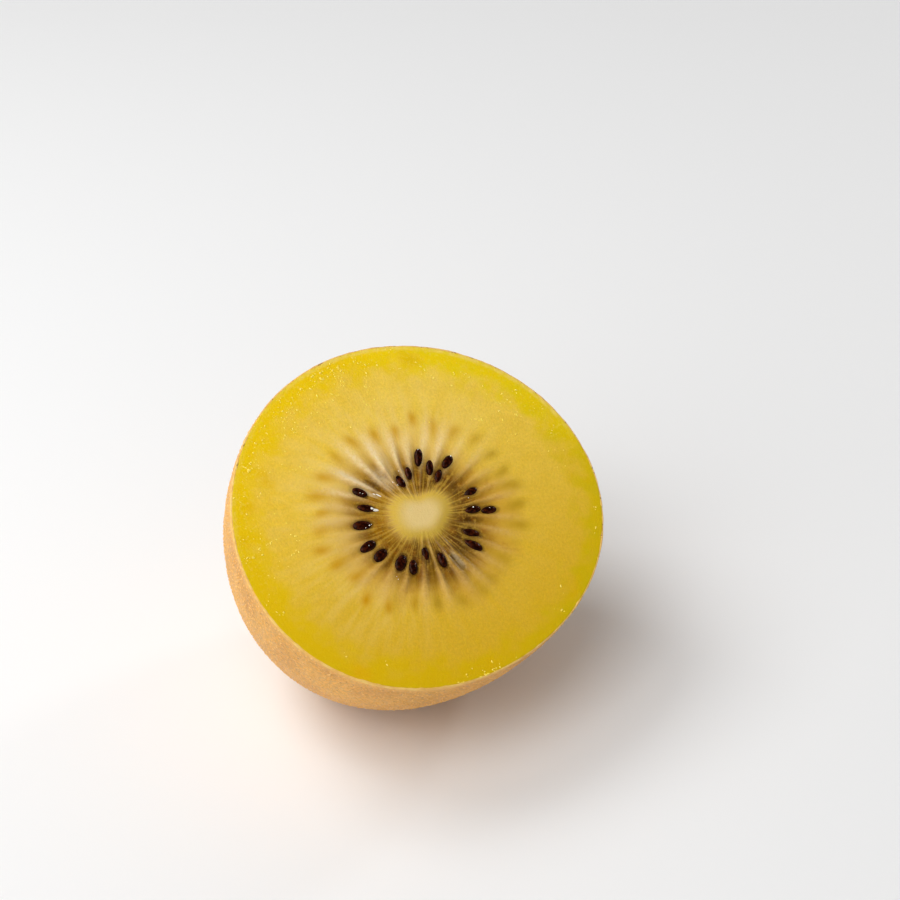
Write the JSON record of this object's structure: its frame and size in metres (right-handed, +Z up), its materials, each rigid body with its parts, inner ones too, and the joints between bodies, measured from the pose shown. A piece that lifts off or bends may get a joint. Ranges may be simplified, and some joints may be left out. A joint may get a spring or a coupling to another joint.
{
  "type": "golden kiwi fruit half",
  "caption": "Half of a golden kiwi fruit, cut across its middle and lying on its skin with the cut face tilted up: pale core, radiating seed chambers, dark seeds, thin brown skin.",
  "frame": {"origin": "middle of the small flat spot of skin that the half rests on, on the surface below it", "axes": "+Z up; the cut face looks up and leans towards -Y; +X to the right when facing the cut face"},
  "size_m": [0.0562, 0.051, 0.0459],
  "materials": {
    "flesh": "satin",
    "skin": "matte",
    "seed": "gloss",
    "scar": "matte"
  },
  "bodies": {
    "root": {"kiwi_half": "flesh"}
  },
  "joints": []
}
